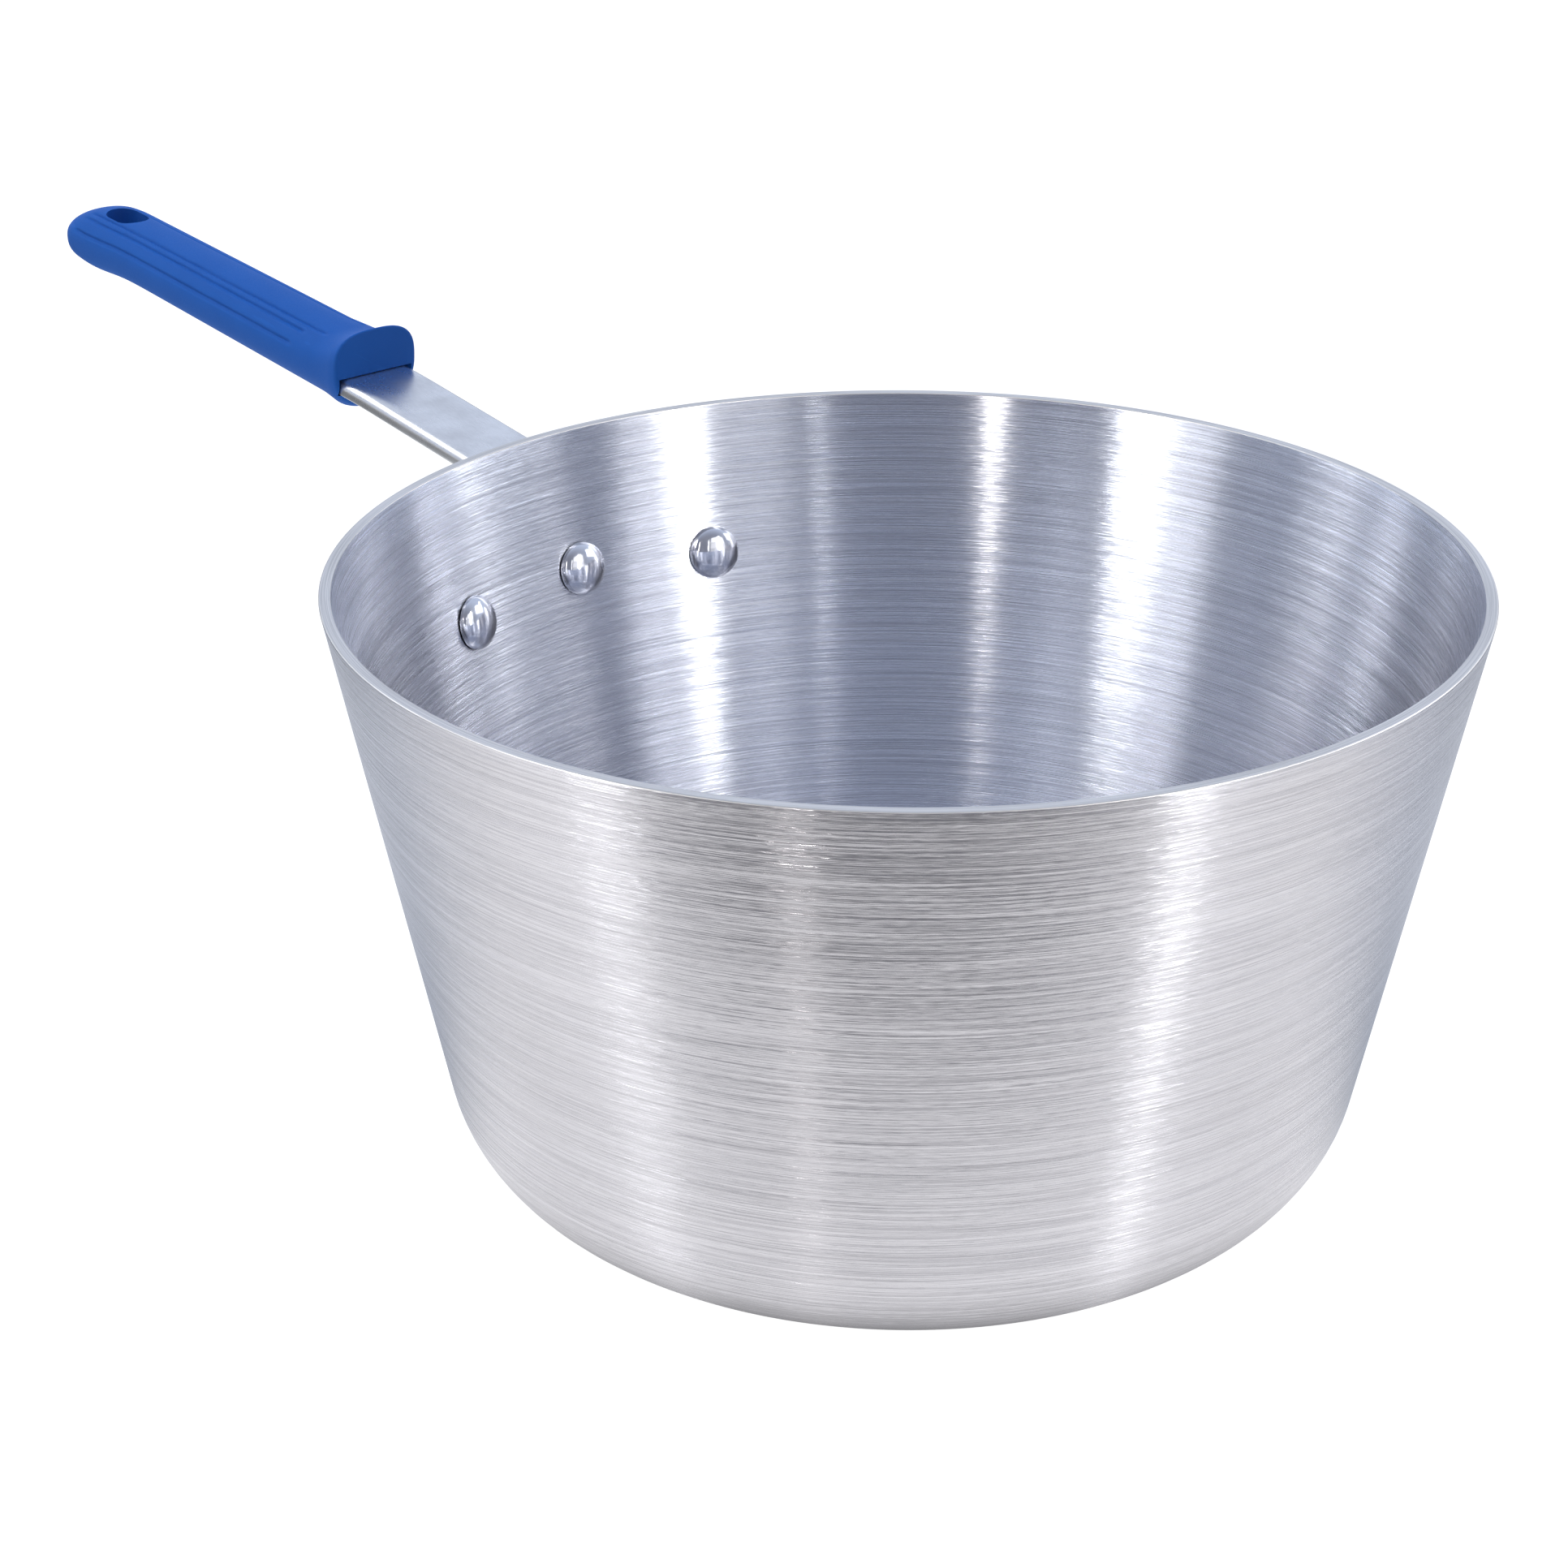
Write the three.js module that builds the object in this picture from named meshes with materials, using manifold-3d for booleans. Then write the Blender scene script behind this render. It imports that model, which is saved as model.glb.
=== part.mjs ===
// Tapered aluminium sauce pan with a riveted sheet-steel handle and a slip-on silicone grip.
// Millimetres, +Z up. The origin is the centre of the underside of the base,
// and the handle points along +X.
import * as THREE from 'three';
import { mergeVertices } from 'three/addons/utils/BufferGeometryUtils.js';
import Module from 'manifold-3d';

const wasm = await Module();
wasm.setup();

const RAD = Math.PI / 180;

// Pan: a spun cone with a rounded bottom corner.
const RIM_RADIUS = 137;
const PAN_HEIGHT = 152.8;
const WALL = 2.8;
const WALL_ANGLE = 11.2 * RAD;
const CORNER_RADIUS = 34;
const LIP_CHAMFER = 0.5;
const PAN_SIDES = 96;
const CORNER_STEPS = 8;

// Gap kept between neighbouring pieces.
const GAP = 0.3;

// Rivets: three in a shallow arc, the middle one a little higher.
const RIVET_SPREAD = 18.25 * RAD;
const RIVET_DEPTH_MIDDLE = 36.6;
const RIVET_DEPTH_SIDE = 39.7;
const SHANK_RADIUS = 3;
const HEAD_RADIUS = 7;
const HEAD_HEIGHT = 3.4;
const HEAD_SEAT = 0.5;
const TAIL_RADIUS = 5.5;
const TAIL_HEIGHT = 2.2;
const RIVET_SIDES = 20;
const DOME_STEPS = 5;
const DRILL_LENGTH = 30;

// Handle: one pressed sheet. Its lower end is a curved plate on the wall,
// and it bends outward into a strap whose edges are rolled down.
const SHEET = 2.2;
const PLATE_HALF_WIDTH = 50.5;
const PLATE_CORNER = 10;
const PLATE_BOTTOM = 106.6;
const PLATE_HEIGHT = 24.2;
const PLATE_DROOP = RIVET_DEPTH_SIDE - RIVET_DEPTH_MIDDLE;
const SHOULDER_START = 17;
const SHOULDER_END = 50;
const BEND_RADIUS = 10;
const STRAP_SLOPE = 7.1 * RAD;
const STRAP_LENGTH = 64.4;
const STRAP_HALF_WIDTH = 11.8;
const LEVEL_LEAD = 6;
const LEVEL_RUN_OUT = 2;
const ROLL_RADIUS = 1.6;
const ROLL_DROP = 1.7;
const ROLL_RUN_OUT = 6;
const ARCH_LENGTH = 14;
const TANG_SLOPE = 4.8 * RAD;
const TANG_HALF_WIDTH = 9.5;
const TANG_LENGTH = 146;
const TANG_NARROWING = 12;
const TANG_FLAT = 24;
const TANG_UNROLL = 10;
const TIP_BLUNT = 0.4;
const SHEET_COLUMNS = 20;

// Grip: heights are above the top of the strap, lengths run outward from the collar face.
const GRIP_LENGTH = 154;
const GRIP_HALF_WIDTH = 12.9;
const GRIP_TOP = [9.0, 7.5];
const GRIP_BOTTOM = [-9.6, -8.2];
const COLLAR_LENGTH = 14;
const COLLAR_RISE = 4.6;
const COLLAR_SPREAD = 1.4;
const LIP_LENGTH = 12;
const LIP_DROP = 1.0;
const FACE_ROUND = 4;
const FACE_INSET = { top: 0.2, side: 0.8, bottom: 2.0 };
const POMMEL_BULGE = 1.8;
const POMMEL_SIDE = 0.3;
const POMMEL_PLACE = 16;
const POMMEL_SPAN = 14;
const END_PLAN = 10.2;
const END_TOP = 19;
const END_BOTTOM = 6.5;
const END_CURVE = 2.3;
const TOP_CURVE = 2.15;
const BOTTOM_CURVE = 2.4;
const GRIP_SIDES = 40;
const ARC_STEPS = 10;
const POCKET_END_GAP = 1;

// Hang hole through the grip and the tang.
const HOLE_PLACE = 132.8;
const HOLE_LENGTH = 15.3;
const HOLE_WIDTH = 10.2;
const HOLE_EASE = 0.9;
const SLOT_REACH = 25;

const COLORS = {
  pan: { color: 0xc4c7cb, roughness: 0.35, metalness: 1 },
  handle: { color: 0xb4b8c0, roughness: 0.3, metalness: 1 },
  rivet: { color: 0xd0d3d8, roughness: 0.15, metalness: 1 },
  grip: { color: 0x2a55a8, roughness: 0.6, metalness: 0 },
};

const smooth = (x) => THREE.MathUtils.smoothstep(x, 0, 1);
const mix = THREE.MathUtils.lerp;
const range = (from, to, steps) =>
  Array.from({ length: steps }, (_, i) => mix(from, to, (i + 1) / steps));

// ---------------------------------------------------------------- solids

function toSolid(geometry) {
  const bare = geometry.index ? geometry.toNonIndexed() : geometry.clone();
  bare.deleteAttribute('normal');
  bare.deleteAttribute('uv');
  const merged = mergeVertices(bare, 1e-4);
  const mesh = new wasm.Mesh({
    numProp: 3,
    vertProperties: new Float32Array(merged.attributes.position.array),
    triVerts: new Uint32Array(merged.index.array),
  });
  return new wasm.Manifold(mesh);
}

function toGeometry(solid) {
  const { vertProperties, triVerts } = solid.getMesh();
  const geometry = new THREE.BufferGeometry();
  geometry.setAttribute('position', new THREE.BufferAttribute(vertProperties, 3));
  geometry.setIndex(new THREE.BufferAttribute(triVerts, 1));
  geometry.computeVertexNormals();
  return geometry;
}

function cut(geometry, cutters) {
  const solid = cutters.reduce((left, cutter) => left.subtract(toSolid(cutter)), toSolid(geometry));
  return toGeometry(solid);
}

// Moves every vertex of a geometry through a function from Vector3 to Vector3.
function remap(geometry, place) {
  const points = geometry.attributes.position;
  const point = new THREE.Vector3();
  for (let i = 0; i < points.count; i += 1) {
    point.fromBufferAttribute(points, i);
    points.setXYZ(i, ...place(point));
  }
  return geometry;
}

function mesh(name, geometry, look) {
  const made = new THREE.Mesh(geometry, new THREE.MeshStandardMaterial(COLORS[look]));
  made.name = name;
  return made;
}

// ---------------------------------------------------------------- pan

const wallRadius = (z) => RIM_RADIUS - (PAN_HEIGHT - z) * Math.tan(WALL_ANGLE);
const cornerCentre = () => {
  const atBase = wallRadius(CORNER_RADIUS);
  return atBase - CORNER_RADIUS / Math.cos(WALL_ANGLE);
};

function cornerArc(radius) {
  const centre = cornerCentre();
  return [0, ...range(0, 1, CORNER_STEPS)].map((k) => {
    const angle = mix(-Math.PI / 2, -WALL_ANGLE, k);
    return new THREE.Vector2(
      centre + radius * Math.cos(angle),
      CORNER_RADIUS + radius * Math.sin(angle),
    );
  });
}

function panProfile() {
  const inset = WALL / Math.cos(WALL_ANGLE);
  const lean = LIP_CHAMFER * Math.tan(WALL_ANGLE);
  return [
    new THREE.Vector2(0, 0),
    ...cornerArc(CORNER_RADIUS),
    new THREE.Vector2(RIM_RADIUS - lean, PAN_HEIGHT - LIP_CHAMFER),
    new THREE.Vector2(RIM_RADIUS - LIP_CHAMFER, PAN_HEIGHT),
    new THREE.Vector2(RIM_RADIUS - inset + LIP_CHAMFER, PAN_HEIGHT),
    new THREE.Vector2(RIM_RADIUS - inset - lean, PAN_HEIGHT - LIP_CHAMFER),
    ...cornerArc(CORNER_RADIUS - WALL).reverse(),
    new THREE.Vector2(0, WALL),
  ];
}

// Where each rivet crosses the outside of the wall, and the way out of the wall there.
const RIVETS = [
  { name: 'rivet_left', turn: -RIVET_SPREAD, depth: RIVET_DEPTH_SIDE },
  { name: 'rivet_middle', turn: 0, depth: RIVET_DEPTH_MIDDLE },
  { name: 'rivet_right', turn: RIVET_SPREAD, depth: RIVET_DEPTH_SIDE },
].map(({ name, turn, depth }) => {
  const z = PAN_HEIGHT - depth;
  const spin = new THREE.Vector3(0, 0, 1);
  return {
    name,
    place: new THREE.Vector3(wallRadius(z), 0, z).applyAxisAngle(spin, turn),
    outward: new THREE.Vector3(Math.cos(WALL_ANGLE), 0, -Math.sin(WALL_ANGLE))
      .applyAxisAngle(spin, turn),
  };
});

function rivetHole({ place, outward }) {
  const radius = SHANK_RADIUS + GAP;
  const drill = new THREE.CylinderGeometry(radius, radius, DRILL_LENGTH, RIVET_SIDES);
  const turn = new THREE.Quaternion().setFromUnitVectors(new THREE.Vector3(0, 1, 0), outward);
  return drill.applyQuaternion(turn).translate(...place);
}

function panShell() {
  const shell = new THREE.LatheGeometry(panProfile(), PAN_SIDES).rotateX(Math.PI / 2);
  return cut(shell, RIVETS.map(rivetHole));
}

// ---------------------------------------------------------------- rivets

// Half-ellipse from the edge of a head to its crown, for a lathe around Y.
const dome = (radius, height, base) =>
  [0, ...range(0, 1, DOME_STEPS)].map((k) => {
    const angle = (k * Math.PI) / 2;
    const reach = k === 1 ? 0 : radius * Math.cos(angle);
    return new THREE.Vector2(reach, base + height * Math.sin(angle));
  });

// The rivet's own Y points out of the pan, with 0 at the outside of the wall.
function rivetBody() {
  const innerSeat = -WALL - HEAD_SEAT;
  const outerSeat = GAP + SHEET + GAP;
  const profile = [
    ...dome(HEAD_RADIUS, -HEAD_HEIGHT, innerSeat).reverse(),
    new THREE.Vector2(SHANK_RADIUS, innerSeat),
    new THREE.Vector2(SHANK_RADIUS, outerSeat),
    ...dome(TAIL_RADIUS, TAIL_HEIGHT, outerSeat),
  ];
  return new THREE.LatheGeometry(profile, RIVET_SIDES);
}

function rivet({ name, place, outward }) {
  const made = mesh(name, rivetBody(), 'rivet');
  made.position.copy(place);
  made.quaternion.setFromUnitVectors(new THREE.Vector3(0, 1, 0), outward);
  return made;
}

// ---------------------------------------------------------------- handle

const BEND_TURN = Math.PI / 2 - WALL_ANGLE - STRAP_SLOPE;
const BEND_END = PLATE_HEIGHT + BEND_RADIUS * BEND_TURN;
const FACE = BEND_END + STRAP_LENGTH + ARCH_LENGTH;
const TIP = FACE + TANG_LENGTH;

// The middle of the sheet, seen from the side: lengths and how far each stretch turns down.
const PATH = [
  { length: PLATE_HEIGHT, turn: 0 },
  { length: BEND_RADIUS * BEND_TURN, turn: BEND_TURN },
  { length: STRAP_LENGTH, turn: 0 },
  { length: ARCH_LENGTH, turn: STRAP_SLOPE - TANG_SLOPE },
  { length: TANG_LENGTH, turn: 0 },
];

// Point and heading at a distance along the sheet from the bottom of the plate.
function pathAt(distance) {
  const offset = GAP + SHEET / 2;
  let heading = Math.PI / 2 - WALL_ANGLE;
  let x = wallRadius(PLATE_BOTTOM) + offset * Math.cos(WALL_ANGLE);
  let z = PLATE_BOTTOM - offset * Math.sin(WALL_ANGLE);
  let left = distance;
  for (const [index, { length, turn }] of PATH.entries()) {
    const run = index === PATH.length - 1 ? left : Math.min(left, length);
    const bend = (turn * run) / length;
    const chord = bend ? (2 * run * Math.sin(bend / 2)) / bend : run;
    x += chord * Math.cos(heading - bend / 2);
    z += chord * Math.sin(heading - bend / 2);
    heading -= bend;
    left -= run;
    if (left <= 0) break;
  }
  return { x, z, heading };
}

// How far the sheet's edges are rolled down: 0 on the plate, 1 along the strap, 0 at the tip.
const rollAt = (v) =>
  smooth((v - PLATE_HEIGHT) / (BEND_END + ROLL_RUN_OUT - PLATE_HEIGHT)) *
  smooth((TIP - TANG_FLAT - v) / TANG_UNROLL);

// How far the sheet has gone from following the round wall, 0, to lying level across, 1.
function levelAt(v) {
  const start = PLATE_HEIGHT - LEVEL_LEAD;
  return smooth((v - start) / (BEND_END + LEVEL_RUN_OUT - start));
}

// Length of blank that each rolled edge takes, and how far it reaches sideways once rolled.
const EDGE = ROLL_RADIUS * (Math.PI / 2) + ROLL_DROP;
function edgeReach(v) {
  const turned = (Math.PI / 2) * rollAt(v);
  const straight = EDGE - ROLL_RADIUS * turned;
  return (ROLL_RADIUS + SHEET / 2) * Math.sin(turned) + straight * Math.cos(turned);
}

// Half the width of the finished handle at a distance along the sheet.
function halfWidth(v) {
  if (v < PLATE_CORNER) {
    const rise = Math.sqrt(PLATE_CORNER ** 2 - (PLATE_CORNER - Math.max(v, 0)) ** 2);
    return PLATE_HALF_WIDTH - PLATE_CORNER + rise;
  }
  const fromTip = TIP - v;
  if (fromTip < TANG_HALF_WIDTH) {
    const round = TANG_HALF_WIDTH ** 2 - (TANG_HALF_WIDTH - fromTip) ** 2;
    return Math.sqrt(Math.max(round, TIP_BLUNT ** 2));
  }
  const shoulder = smooth((v - SHOULDER_START) / (SHOULDER_END - SHOULDER_START));
  const tang = THREE.MathUtils.clamp((v - FACE) / TANG_NARROWING, 0, 1);
  return mix(PLATE_HALF_WIDTH, STRAP_HALF_WIDTH, shoulder)
    - tang * (STRAP_HALF_WIDTH - TANG_HALF_WIDTH);
}

const blankHalfWidth = (v) => halfWidth(v) - edgeReach(v) + EDGE;

// The middle surface of the sheet: s runs across it and v along it.
function sheetMiddle(s, v) {
  const side = Math.sign(s);
  const flat = Math.max(blankHalfWidth(v) - EDGE, 0);
  const over = Math.max(Math.abs(s) - flat, 0);
  const fullTurn = (Math.PI / 2) * rollAt(v);
  const turned = Math.min(over / ROLL_RADIUS, fullTurn);
  const straight = over - turned * ROLL_RADIUS;
  const across = Math.min(Math.abs(s), flat) + ROLL_RADIUS * Math.sin(turned)
    + straight * Math.cos(turned);
  const drop = ROLL_RADIUS * (1 - Math.cos(turned)) + straight * Math.sin(turned);

  const level = levelAt(v);
  const rivetArc = RIVET_SPREAD * wallRadius(PAN_HEIGHT - RIVET_DEPTH_SIDE);
  const droop = PLATE_DROOP * (s / rivetArc) ** 2 * (1 - level);
  const { x, z, heading } = pathAt(v - droop);
  const turn = across / x;
  const ring = new THREE.Vector3(x * Math.cos(turn), side * x * Math.sin(turn), z);
  const plane = new THREE.Vector3(x, side * across, z);
  const down = new THREE.Vector3(Math.sin(heading), 0, -Math.cos(heading));
  return ring.lerp(plane, level).addScaledVector(down, drop);
}

function sheetPoint(s, v, face) {
  const step = 0.01;
  const alongS = sheetMiddle(s + step, v).sub(sheetMiddle(s - step, v));
  const alongV = sheetMiddle(s, v + step).sub(sheetMiddle(s, v - step));
  const normal = alongV.cross(alongS).normalize();
  return sheetMiddle(s, v).addScaledVector(normal, (face * SHEET) / 2);
}

// Distances along the sheet where the mesh has a row, closer together where it bends.
const cornerRows = range(0, 90, 5).map((a) => PLATE_CORNER * (1 - Math.cos(a * RAD)));
const tipRows = range(0, 90, 5).map((a) => TIP - TANG_HALF_WIDTH * (1 - Math.sin(a * RAD)));
const SHEET_ROWS = [
  0,
  ...cornerRows,
  SHOULDER_START,
  ...range(SHOULDER_START, SHOULDER_END, 14),
  ...range(SHOULDER_END, BEND_END + STRAP_LENGTH, 2),
  ...range(BEND_END + STRAP_LENGTH, FACE, 2),
  ...range(FACE, FACE + TANG_NARROWING, 3),
  TIP - TANG_FLAT - TANG_UNROLL,
  ...range(TIP - TANG_FLAT - TANG_UNROLL, TIP - TANG_FLAT, 3),
  TIP - TANG_HALF_WIDTH,
  ...tipRows,
];

// A slot with round ends, seen from above, cut straight down through a grip-aligned piece.
function slotCutter(ease) {
  const outline = new THREE.Shape();
  const radius = HOLE_WIDTH / 2 + ease;
  const half = (HOLE_LENGTH - HOLE_WIDTH) / 2;
  outline.absarc(HOLE_PLACE + half, 0, radius, -Math.PI / 2, Math.PI / 2, false);
  outline.absarc(HOLE_PLACE - half, 0, radius, Math.PI / 2, (3 * Math.PI) / 2, false);
  const slot = new THREE.ExtrudeGeometry(outline, {
    depth: 2 * SLOT_REACH,
    bevelEnabled: false,
    curveSegments: ARC_STEPS,
  });
  return slot.translate(0, 0, -SLOT_REACH);
}

// The top of the strap where it enters the grip.
function gripPlace() {
  const { x, z, heading } = pathAt(FACE);
  return new THREE.Vector3(
    x - (SHEET / 2) * Math.sin(heading),
    0,
    z + (SHEET / 2) * Math.cos(heading),
  );
}

function handleSheet() {
  const rows = SHEET_ROWS.length - 1;
  const grid = new THREE.BoxGeometry(2, 1, 1, SHEET_COLUMNS, rows, 1);
  const sheet = remap(grid, ({ x, y, z }) => {
    const v = SHEET_ROWS[Math.round((y + 0.5) * rows)];
    const half = blankHalfWidth(v);
    const flat = Math.max(half - EDGE, 0);
    const reach = Math.abs(x);
    const s = reach <= 0.5 ? 2 * reach * flat : mix(flat, half, 2 * reach - 1);
    return sheetPoint(-Math.sign(x) * s, v, Math.sign(z));
  });
  const slot = slotCutter(HOLE_EASE).rotateY(-TANG_SLOPE).translate(...gripPlace());
  return cut(sheet, [...RIVETS.map(rivetHole), slot]);
}

// ---------------------------------------------------------------- grip

const roundedEnd = (s, reach) => {
  const k = THREE.MathUtils.clamp((s - GRIP_LENGTH + reach) / reach, 0, 1);
  return (1 - k ** END_CURVE) ** (1 / END_CURVE);
};

// Half width, top and bottom of the grip at a distance from the collar face.
function gripSection(s) {
  const along = s / GRIP_LENGTH;
  const collar = Math.max(0, 1 - s / COLLAR_LENGTH) ** 2;
  const lip = smooth(1 - s / LIP_LENGTH);
  const face = Math.max(0, 1 - s / FACE_ROUND) ** 2;
  const pommel = POMMEL_BULGE * Math.exp(-(((s - GRIP_LENGTH + POMMEL_PLACE) / POMMEL_SPAN) ** 2));
  const half = GRIP_HALF_WIDTH + COLLAR_SPREAD * collar + POMMEL_SIDE * pommel
    - FACE_INSET.side * face;
  const top = mix(...GRIP_TOP, along) + COLLAR_RISE * collar - FACE_INSET.top * face;
  const bottom = mix(...GRIP_BOTTOM, along) - LIP_DROP * lip - pommel + FACE_INSET.bottom * face;
  const middle = (top + bottom) / 2;
  return {
    half: half * roundedEnd(s, END_PLAN),
    middle,
    up: (top - middle) * roundedEnd(s, END_TOP),
    down: (middle - bottom) * roundedEnd(s, END_BOTTOM),
  };
}

const bulge = (x, curve) => Math.sign(x) * Math.abs(x) ** (2 / curve);

const POMMEL_START = GRIP_LENGTH - POMMEL_PLACE - 2 * POMMEL_SPAN;
const GRIP_ROWS = [
  0,
  ...range(0, FACE_ROUND, 4),
  ...range(FACE_ROUND, COLLAR_LENGTH, 5),
  ...range(COLLAR_LENGTH, POMMEL_START, 2),
  ...range(POMMEL_START, GRIP_LENGTH - END_TOP, 3),
  ...range(GRIP_LENGTH - END_TOP, GRIP_LENGTH - END_BOTTOM, 4),
  ...range(0, 85, 5).map((a) => GRIP_LENGTH - END_BOTTOM * (1 - Math.sin(a * RAD))),
];

// The pocket that the tang fills, open at the collar face.
function pocketCutter() {
  const mouth = STRAP_HALF_WIDTH + GAP;
  const half = TANG_HALF_WIDTH + GAP;
  const end = TANG_LENGTH + POCKET_END_GAP;
  const outline = new THREE.Shape();
  outline.moveTo(-1, -mouth);
  outline.lineTo(1, -mouth);
  outline.lineTo(TANG_NARROWING + 1, -half);
  outline.lineTo(end - half, -half);
  outline.absarc(end - half, 0, half, -Math.PI / 2, Math.PI / 2, false);
  outline.lineTo(TANG_NARROWING + 1, half);
  outline.lineTo(1, mouth);
  outline.lineTo(-1, mouth);
  const depth = SHEET / 2 + ROLL_RADIUS + ROLL_DROP + 2 * GAP;
  const pocket = new THREE.ExtrudeGeometry(outline, {
    depth,
    bevelEnabled: false,
    curveSegments: ARC_STEPS,
  });
  return pocket.translate(0, 0, GAP - depth);
}

function gripSleeve() {
  const rows = GRIP_ROWS.length - 1;
  const tube = new THREE.CylinderGeometry(1, 1, 1, GRIP_SIDES, rows);
  const body = remap(tube, ({ x, y, z }) => {
    const s = GRIP_ROWS[Math.round((y + 0.5) * rows)];
    const { half, middle, up, down } = gripSection(s);
    const rise = z < 0 ? up * bulge(-z, TOP_CURVE) : -down * bulge(z, BOTTOM_CURVE);
    return [s, half * bulge(x, z < 0 ? TOP_CURVE : BOTTOM_CURVE), middle + rise];
  });
  return cut(body, [pocketCutter(), slotCutter(0)]);
}

// ---------------------------------------------------------------- assembly

const pan = new THREE.Group();
pan.add(mesh('pan_shell', panShell(), 'pan'));
pan.add(mesh('handle', handleSheet(), 'handle'));
pan.add(...RIVETS.map(rivet));

const grip = new THREE.Group();
grip.position.copy(gripPlace());
grip.rotation.y = -TANG_SLOPE;
grip.add(mesh('grip_sleeve', gripSleeve(), 'grip'));
pan.add(grip);

export default pan;
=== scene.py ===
"""Looks of the tapered sauce pan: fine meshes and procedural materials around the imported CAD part.

Metres, +Z up. The origin is the centre of the underside of the base, and the handle points along +X.
"""

import math

import bmesh
import bpy
from mathutils import Matrix, Vector


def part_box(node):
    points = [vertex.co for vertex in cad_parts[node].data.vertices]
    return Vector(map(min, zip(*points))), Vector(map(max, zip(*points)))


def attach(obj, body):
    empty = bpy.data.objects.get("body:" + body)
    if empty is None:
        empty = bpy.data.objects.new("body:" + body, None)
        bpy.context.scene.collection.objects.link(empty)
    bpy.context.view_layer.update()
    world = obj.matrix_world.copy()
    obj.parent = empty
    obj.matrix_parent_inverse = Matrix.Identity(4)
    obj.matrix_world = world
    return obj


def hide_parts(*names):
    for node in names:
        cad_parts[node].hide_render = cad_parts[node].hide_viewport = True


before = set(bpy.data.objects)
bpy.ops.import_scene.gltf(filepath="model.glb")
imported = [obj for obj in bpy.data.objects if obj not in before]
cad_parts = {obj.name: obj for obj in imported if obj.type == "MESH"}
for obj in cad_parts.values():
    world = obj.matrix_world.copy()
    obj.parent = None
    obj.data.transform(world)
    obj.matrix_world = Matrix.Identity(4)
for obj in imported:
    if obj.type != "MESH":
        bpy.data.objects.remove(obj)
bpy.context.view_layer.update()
SHELL_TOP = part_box("pan_shell")[1]

MM = 0.001

# Pan: the outside follows the CAD shell, with rounder edges on its lip.
WALL = 2.8 * MM
WALL_ANGLE = math.radians(11.2)
CORNER_RADIUS = 34 * MM
PAN_HEIGHT = SHELL_TOP.z
RIM_RADIUS = SHELL_TOP.x
LIP_ROUND_OUTSIDE = 0.4 * MM
LIP_ROUND_INSIDE = 0.3 * MM
LIP_STEPS = 6
PAN_SIDES = 240
WALL_ROWS = 24
CORNER_STEPS = 20
FLOOR_RINGS = 10

# Rivets.
RIVET_SPREAD = math.radians(18.25)
RIVET_DEPTH_MIDDLE = 36.6 * MM
RIVET_DEPTH_SIDE = 39.7 * MM
SHANK_RADIUS = 3 * MM
HEAD_RADIUS = 7 * MM
HEAD_HEIGHT = 3.4 * MM
HEAD_SEAT = 0.5 * MM
TAIL_RADIUS = 5.5 * MM
TAIL_HEIGHT = 2.2 * MM
RIVET_SIDES = 64
DOME_STEPS = 16
RIVET_CREASE = math.radians(60)
DRILL_REACH = 15 * MM
DRILL_SIDES = 32

# Handle: one pressed sheet, a curved plate on the wall that bends outward into a strap.
GAP = 0.3 * MM
SHEET = 2.2 * MM
SHEET_EDGE = 0.35 * MM
PLATE_HALF_WIDTH = 50.5 * MM
PLATE_CORNER = 10 * MM
PLATE_BOTTOM = 106.6 * MM
PLATE_HEIGHT = 24.2 * MM
PLATE_DROOP = RIVET_DEPTH_SIDE - RIVET_DEPTH_MIDDLE
SHOULDER_START = 17 * MM
SHOULDER_END = 50 * MM
BEND_RADIUS = 10 * MM
STRAP_SLOPE = math.radians(7.1)
STRAP_LENGTH = 64.4 * MM
STRAP_HALF_WIDTH = 11.8 * MM
LEVEL_LEAD = 6 * MM
LEVEL_RUN_OUT = 2 * MM
ROLL_RADIUS = 1.6 * MM
ROLL_DROP = 1.7 * MM
ROLL_RUN_OUT = 6 * MM
ARCH_LENGTH = 14 * MM
TANG_SLOPE = math.radians(4.8)
TANG_HALF_WIDTH = 9.5 * MM
TANG_LENGTH = 146 * MM
TANG_NARROWING = 12 * MM
TANG_FLAT = 24 * MM
TANG_UNROLL = 10 * MM
TIP_BLUNT = 0.4 * MM
SURFACE_STEP = 0.01 * MM
QUARTER_STEPS = 10
ROW_DIGITS = 7
ROLLED_STEPS = 8
FLAT_STEPS = 16
EDGE_TURNS = [math.radians(a) for a in (22.5, 45, 67.5, 90)]
SLOT_REACH = 25 * MM
SLOT_END_STEPS = 24
HANDLE_CREASE = math.radians(50)

# Grip: heights are above the top of the strap, and lengths run outward from the collar face. A pair gives
# the value at the collar, then the value further out.
GRIP_LENGTH = 154 * MM
GRIP_HALF_WIDTH = 12.9 * MM
GRIP_TOP = (9.0 * MM, 7.5 * MM)
GRIP_BOTTOM = (-9.6 * MM, -8.2 * MM)
COLLAR_LENGTH = 14 * MM
COLLAR_RISE = 4.6 * MM
COLLAR_SPREAD = 1.4 * MM
COLLAR_EDGE = 0.9 * MM
LIP_LENGTH = 12 * MM
LIP_DROP = 1.0 * MM
FACE_ROUND = 4 * MM
FACE_INSET_SIDE = 0.8 * MM
FACE_INSET_TOP = 0.2 * MM
FACE_INSET_BOTTOM = 2.0 * MM
POMMEL_BULGE = 1.8 * MM
POMMEL_SIDE = 0.3
POMMEL_PLACE = 16 * MM
POMMEL_SPAN = 14 * MM
END_PLAN = 10.2 * MM
END_TOP = 19 * MM
END_BOTTOM = 6.5 * MM
END_CURVE = 2.3
TOP_CURVE = (2.9, 2.15)
BOTTOM_CURVE = 2.4
GRIP_SIDES = 256
GRIP_CREASE = math.radians(40)
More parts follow.
